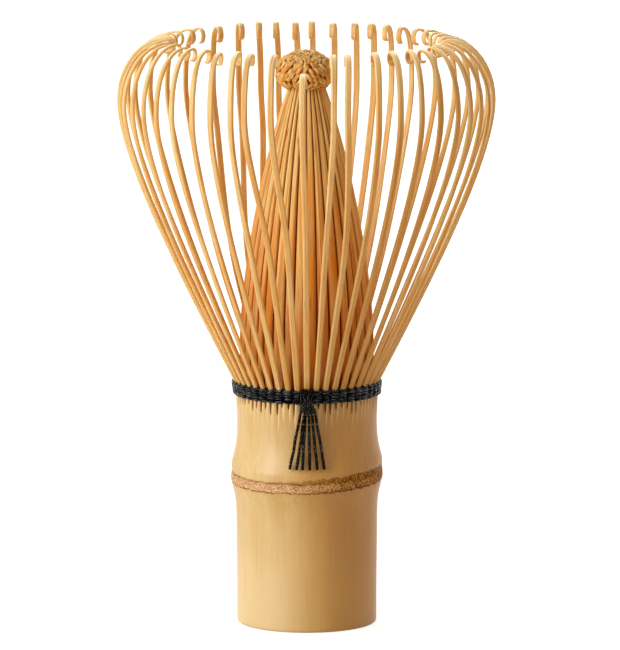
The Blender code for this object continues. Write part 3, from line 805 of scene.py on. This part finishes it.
def make_inner_tines(wood):
    """Both halves. A strip's two bounds are angles round the cone, and drift a little on the way up."""
    dice = random.Random(21)
    half = STRIP_COUNT // 2
    bounds, drifts = [], []
    for start in (-math.pi / 2, math.pi / 2):
        parts = np.cumsum([0.0] + [dice.uniform(0.72, 1.28) for _ in range(half)])
        bounds += (start + math.pi * parts[:-1] / parts[-1]).tolist()
        drifts += [0.0] + [math.radians(dice.uniform(-2.2, 2.2)) for _ in range(half - 1)]
    bounds.append(1.5 * math.pi)
    drifts.append(0.0)
    for side, first in (("right", 0), ("left", half)):
        make_inner_half(f"inner_strips_{side}", f"inner_tines_{side}", first, bounds, drifts, wood)


def on_plait(angle, latitude, proud):
    """Points on the plait's bun shape, raised by proud, and the ways that look out of it there."""
    upper = np.sin(latitude) > 0
    half = np.where(upper, PLAIT_RISE, PLAIT_DROP)
    way = unit(np.stack((np.cos(latitude) / PLAIT_RADIUS, np.sin(latitude) / half), axis=-1))
    fullness = np.where(upper, 1.0, PLAIT_FULLNESS)
    radius = PLAIT_RADIUS * np.cos(latitude) ** fullness
    height = PLAIT_MIDDLE + half * np.sin(latitude)
    points = polar(angle, radius + way[:, 0] * proud, height + way[:, 1] * proud)
    return points + (PLAIT_SHIFT, 0.0, 0.0), polar(angle, way[:, 0], way[:, 1])


def add_plait_strand(shape, dice, angle, latitude, turn, rise, half_width, half_thickness, arching):
    """A short strand of one or two splints that comes up from under its neighbours and dives under again."""
    share = np.linspace(0.0, 1.0, 14)
    arch = np.sin(math.pi * share)
    latitudes = np.clip(latitude + rise * (share - 0.5), -1.15, 1.5)
    lift = arching * (arch**0.75 - 0.82) - half_thickness * 0.5 + dice.uniform(-0.3, 0.16) * arching
    path, out = on_plait(angle + turn * (share - 0.5), latitudes, lift)
    sideways = unit(np.cross(out, unit(np.gradient(path, axis=0))))
    tone = dice.uniform(-0.2, 0.35) - 0.25 * (half_width < 0.3 * MM)
    places, share_of_width = dice.choice((((0.0,), 0.92), ((0.0,), 0.92), ((-1.0, 1.0), 0.56)))
    for place in places:
        apart = (place * half_width * (0.2 + 0.26 * arch))[:, None]
        drop = dice.uniform(0.0, 0.14) * MM
        wide = half_width * share_of_width * (0.78 + 0.22 * arch**0.6)
        deep = half_thickness * (0.7 + 0.3 * arch**0.6)
        rings, grain = tube_rings(path + sideways * apart - out * drop, out, wide, deep)
        grain = shifted(grain, dice)
        # Painted shade: darker towards each strand's ends, where it dives under its neighbours, and on its
        # underside and flanks
        around = np.linspace(0.0, math.tau, rings.shape[1], endpoint=False)
        sunk = 0.55 * np.clip(1.0 - 1.25 * np.sin(around), 0.0, 1.0)
        stain_and_shade = np.maximum((1.0 - arch)[:, None] ** 1.1, sunk)
        shape.loft(rings, grain, tone + dice.uniform(-0.15, 0.3), stain_and_shade)


# Rows of the plait: strands, latitude, rise and turn in degrees, half width and thickness and arch in mm
PLAIT_ROWS = (
    (26, -56.0, 24.0, -11.0, 0.4, 0.34, 0.62),
    (30, -40.0, 27.0, -14.0, 0.43, 0.36, 0.74),
    (32, -23.0, 28.0, 16.0, 0.45, 0.38, 0.84),
    (32, -7.0, 28.0, 17.0, 0.45, 0.38, 0.88),
    (32, 9.0, 28.0, 17.0, 0.45, 0.38, 0.86),
    (31, 24.0, 27.0, 16.0, 0.42, 0.36, 0.78),
    (36, 37.0, 25.0, -19.0, 0.27, 0.21, 0.44),
    (40, 45.0, 25.0, 23.0, 0.22, 0.17, 0.38),
    (36, 54.0, 24.0, -28.0, 0.2, 0.16, 0.34),
    (32, 62.0, 22.0, 34.0, 0.2, 0.16, 0.34),
    (26, 70.0, 20.0, -42.0, 0.2, 0.16, 0.32),
    (18, 77.0, 18.0, 60.0, 0.2, 0.16, 0.3),
    (9, 84.0, 16.0, -80.0, 0.2, 0.16, 0.28),
)


def make_plait(wood):
    """The plaited tip. Its strands slope away from the front on both sides, and again at the back."""
    dice = random.Random(31)
    shape = Shape()
    # A dark core under the strands: painted shade that shows in the gaps between them
    around = np.linspace(0, math.tau, 40, endpoint=False)
    painted_shade_core = np.stack([on_plait(around, np.full(40, b), -0.65 * MM)[0] for b in np.linspace(-1.1, 1.5, 16)])
    shape.loft(painted_shade_core, painted_shade_core, 0.9, 0.8)
    for number, (count, latitude, rise, turn, half_width, half_thickness, arching) in enumerate(PLAIT_ROWS):
        for i in range(count):
            angle = math.tau * (i + 0.5 * (number % 2)) / count + math.radians(dice.uniform(-2.5, 2.5))
            side = -math.cos(angle - PLAIT_TURN)
            side = math.copysign(min(1.0, 0.45 + 3.0 * abs(side)), side)
            add_plait_strand(
                shape, dice, angle,
                math.radians(latitude + dice.uniform(-5.0, 5.0)),
                side * math.radians(turn * dice.uniform(0.6, 1.4)),
                math.radians(rise * dice.uniform(0.75, 1.2)),
                half_width * dice.uniform(0.85, 1.12) * MM,
                half_thickness * MM, arching * MM,
            )
    item = shape.build("plaited_tip", [wood], 80.0)
    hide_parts("tip_braid")
    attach(item, "handle")


def root_surface(height):
    """Outer radius of the tine roots and of the culm's edge below them."""
    return CULM_RADIUS + ROOT_LEAN * ((height - ROOT_FOOT) / ROOT_RISE)


def over_and_in(angle):
    """1 over a tine root, 0 in the slit between two."""
    return 0.5 + 0.5 * np.cos(TINE_COUNT * (angle - FRONT))


def level_turns(foot, steps):
    """Angles and heights of the band's turns, which are level and step up to the next behind the knot."""
    sweep = np.linspace(0.0, BAND_TURNS * math.tau, BAND_TURNS * steps + 1)
    turn = np.minimum(np.floor(sweep / math.tau), BAND_TURNS - 1)
    share = sweep / math.tau - turn
    return sweep, foot + BAND_PITCH * (turn + ease(share, 0.985, 1.0))


def make_band(thread):
    """The winding: close turns pulled in between the tine roots, and a last one that peeks up there."""
    shape = Shape()
    half = THREAD_DIAMETER * 0.5
    sweep, height = level_turns(BAND_FOOT, 640)
    angle = FRONT + sweep
    over = over_and_in(angle)
    height = height + 0.05 * MM * over * np.sin(sweep * 1.7)
    radius = root_surface(height) + THREAD_DIAMETER * 0.42 - BAND_PULL * (1.0 - over) ** 2.6
    radius = radius + 0.07 * MM * np.sin(sweep * 7.3) * np.sin(sweep * 3.1)
    path = polar(angle, radius, height)
    out = polar(angle, 1.0, 0.0)
    rings, grain = tube_rings(path, out, half, half * 0.92, sides=10, plies=2, groove=0.05)
    shape.loft(rings, grain, 0.2 + 0.3 * over[:, None])

    sweep, height = level_turns(BAND_FOOT + BAND_PITCH / 2, 240)
    angle = FRONT + sweep
    radius = root_surface(height) - mix(0.34 * MM, 0.05 * MM, over_and_in(angle))
    out = polar(angle, 1.0, 0.0)
    rings, grain = tube_rings(polar(angle, radius, height), out, half, half)
    shape.loft(rings, grain, 0.8)

    angle = FRONT + np.linspace(0.0, math.tau, 960, endpoint=False)
    peak = (1.0 - over_and_in(angle)) ** 2
    height = BAND_FOOT + BAND_PITCH * BAND_TURNS + (0.42 * peak - 0.2) * MM
    radius = root_surface(height) + mix(0.22, -0.2, peak) * MM
    out = polar(angle, 1.0, 0.0)
    rings, grain = tube_rings(polar(angle, radius, height), out, half * 0.86, half * 0.86, plies=2)
    shape.loft(rings, grain, 0.2, looped=True)
    item = shape.build("thread_band", [thread], 80.0)
    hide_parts("thread_winding")
    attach(item, "handle")


def thread_path(points):
    """A smooth curve through a few points, with points close enough for the plies."""
    points = np.array(points, float)
    padded = np.concatenate([2 * points[:1] - points[1:2], points, 2 * points[-1:] - points[-2:-1]])
    pieces = []
    for before, start, end, after in zip(padded, padded[1:], padded[2:], padded[3:]):
        share = np.linspace(0.0, 1.0, 12, endpoint=False)[:, None]
        curve = 2 * start + (end - before) * share
        curve = curve + (2 * before - 5 * start + 4 * end - after) * share**2
        pieces.append((curve + (3 * start - before - 3 * end + after) * share**3) / 2)
    fine = np.concatenate(pieces + [points[-1:]])
    along = lengths(fine)
    steps = max(2, int(along[-1] / (THREAD_LAY / 11)))
    marks = np.linspace(0.0, along[-1], steps + 1)
    return np.stack([np.interp(marks, along, fine[:, axis]) for axis in range(3)], axis=-1)


def add_thread(shape, points, diameter, tone, groove):
    """A two-ply thread through the points, whose section doesn't twist but for its plies."""
    path = thread_path(points)
    tangent = unit(np.gradient(path, axis=0))
    out = np.zeros_like(path)
    out[0] = np.cross(tangent[0], (0.31, 0.22, 0.93))
    for i in range(1, len(path)):
        out[i] = out[i - 1] - np.dot(out[i - 1], tangent[i]) * tangent[i]
        out[i] /= np.linalg.norm(out[i])
    out[0] = out[1]
    half = np.full(len(path), diameter / 2)
    half[-1] *= 0.72
    rings, grain = tube_rings(path, out, half, half, sides=12, plies=2, groove=groove)
    shape.loft(rings, grain, tone)


def make_knot(thread):
    """The knot: strands come over the winding on both sides, cross below it and are drawn tight."""
    shape = Shape()
    for number, strand in enumerate(KNOT_STRANDS):
        points = []
        for x, out, share in strand:
            height = mix(KNOT_BOX[0].z, KNOT_BOX[1].z, share)
            points.append((x * MM, KNOT_BOX[1].y - out * MM, height))
        add_thread(shape, points, THREAD_DIAMETER * 0.94, 0.8 + 0.01 * number, 0.12)
    item = shape.build("thread_bow", [thread], 80.0)
    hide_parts("thread_knot")
    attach(item, "handle")


def make_tails(thread):
    """The six loose ends, fanned out from the knot down the culm to just above the node."""
    names = sorted(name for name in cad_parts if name.startswith("thread_tail_"))
    for number, name in enumerate(names):
        low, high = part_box(name)
        dice = random.Random(70 + number)
        top_x, out = TAIL_TOPS[number]
        top = np.array([top_x * MM, KNOT_BOX[1].y - out * MM, high.z + 0.55 * MM])
        end = np.array([TAIL_ENDS[number] * MM, high.y - THREAD_DIAMETER / 2, low.z + 0.3 * MM])
        route = []
        for share in (0.0, 0.12, 0.3, 0.5, 0.7, 0.88, 1.0):
            sag = math.sin(math.pi * share)
            point = mix(top, end, share)
            point[0] += dice.uniform(-0.07, 0.07) * MM * sag
            point[1] += 0.16 * MM * sag
            route.append(point)
        shape = Shape()
        # Tone 1 gives the ends their painted glint specks and a duller shine
        add_thread(shape, route, TAIL_DIAMETER, 1.0, 0.08)
        item = shape.build(f"twisted_end_{number + 1}", [thread], 80.0)
        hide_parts(name)
        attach(item, "handle")


def make_camera():
    data = bpy.data.cameras.new("camera")
    data.sensor_fit = "HORIZONTAL"
    data.sensor_width = SENSOR_WIDTH
    place = Vector((AIM_ACROSS, -CAMERA_BACK, CAMERA_HEIGHT))
    way = Vector((AIM_ACROSS, 0.0, AIM_HEIGHT)) - place
    data.lens = PIXELS_PER_METRE * way.length / PICTURE_WIDTH * SENSOR_WIDTH
    data.clip_start = 0.01
    camera = add_object("camera", data)
    camera.location = place
    camera.rotation_euler = way.to_track_quat("-Z", "Y").to_euler()
    bpy.context.scene.camera = camera


def add_lamp(name, azimuth, elevation, distance, width, height, strength, colour):
    """A soft rectangular lamp in this direction from the whisk's middle, turned to it."""
    data = bpy.data.lights.new(name, "AREA")
    data.shape = "RECTANGLE"
    data.size = width
    data.size_y = height
    data.energy = strength
    data.color = colour
    lamp = add_object(name, data)
    turn = FRONT + math.radians(azimuth)
    rise = math.radians(elevation)
    way = Vector(polar(turn, math.cos(rise), math.sin(rise)).tolist())
    lamp.location = LAMP_AIM + way * distance
    lamp.rotation_euler = (-way).to_track_quat("-Z", "Y").to_euler()
    lamp.visible_camera = False


def seen_share(tree):
    """1 where the background is looked at, straight, in a reflection or through something, else 0."""
    path = add_node(tree, "LightPath", {})
    share = path.outputs["Is Camera Ray"]
    for ray in ("Is Glossy Ray", "Is Transmission Ray"):
        either = add_node(tree, "Math", {0: share, 1: path.outputs[ray]}, operation="MAXIMUM")
        share = either.outputs[0]
    return share


def make_surroundings():
    """The pale world and floor, which are full bright where they are seen, and two soft lamps."""
    world = bpy.data.worlds.new("studio")
    bpy.context.scene.world = world
    world.use_nodes = True
    tree = world.node_tree
    seen = seen_share(tree)
    strength = add_node(tree, "MapRange", {"Value": seen, "To Min": WORLD_LIGHT, "To Max": 1.0})
    tint = add_node(tree, "Mix", {0: seen, 6: WORLD_TINT, 7: WHITE}, data_type="RGBA")
    backdrop = tree.nodes["Background"]
    put(tree, backdrop.inputs["Strength"], strength.outputs[0])
    put(tree, backdrop.inputs["Color"], tint.outputs[2])

    mesh = bpy.data.meshes.new("floor")
    corners = [(x * FLOOR_REACH, y * FLOOR_REACH, 0.0) for x, y in ((-1, -1), (1, -1), (1, 1), (-1, 1))]
    mesh.from_pydata(corners, [], [(0, 1, 2, 3)])
    floor = add_object("floor", mesh)
    floor.location.z = FLOOR_HEIGHT
    material = bpy.data.materials.new("floor_white")
    material.use_nodes = True
    tree = material.node_tree
    tree.nodes.remove(tree.nodes["Principled BSDF"])
    plain = add_node(tree, "BsdfDiffuse", {"Color": FLOOR_TINT})
    shown = add_node(tree, "BsdfDiffuse", {"Color": FLOOR_SEEN})
    lift = add_node(tree, "Emission", {"Strength": FLOOR_SEEN_LIGHT})
    both = add_node(tree, "AddShader", {0: shown.outputs[0], 1: lift.outputs[0]})
    inputs = {0: seen_share(tree), 1: plain.outputs[0], 2: both.outputs[0]}
    chosen = add_node(tree, "MixShader", inputs)
    put(tree, tree.nodes["Material Output"].inputs["Surface"], chosen.outputs[0])
    mesh.materials.append(material)

    add_lamp("key_lamp", -58.0, 22.0, 1.1, 0.5, 1.1, 11.3, (1.0, 1.0, 1.0))
    add_lamp("back_lamp", 180.0, 34.0, 1.2, 1.2, 0.6, 12.0, (1.0, 0.97, 0.92))


def main():
    bpy.context.scene.view_settings.view_transform = "Standard"
    tine_wood = split_bamboo(
        "outer_tine_bamboo", srgb(239, 215, 161), srgb(226, 182, 106), srgb(182, 121, 50),
        glow=0.8, reach=0.85 * MM, specular=0.16, cracks=0.42,
    )
    strip_wood = split_bamboo(
        "inner_tine_bamboo", srgb(255, 221, 148), srgb(235, 146, 46), srgb(144, 46, 0),
        glow=0.16, reach=0.35 * MM, specular=0.05, cracks=0.6,
    )
    plait_wood = split_bamboo(
        "plait_bamboo", srgb(255, 222, 148), srgb(240, 150, 50), srgb(128, 38, 0),
        glow=0.1, reach=0.35 * MM, specular=0.05, cracks=0.0,
    )
    thread = black_thread()
    make_camera()
    make_culm(culm_skin(), cut_culm())
    for index in range(TINE_COUNT):
        make_outer_tine(index, tine_wood)
    make_inner_tines(strip_wood)
    make_plait(plait_wood)
    make_band(thread)
    make_knot(thread)
    make_tails(thread)
    make_surroundings()


main()
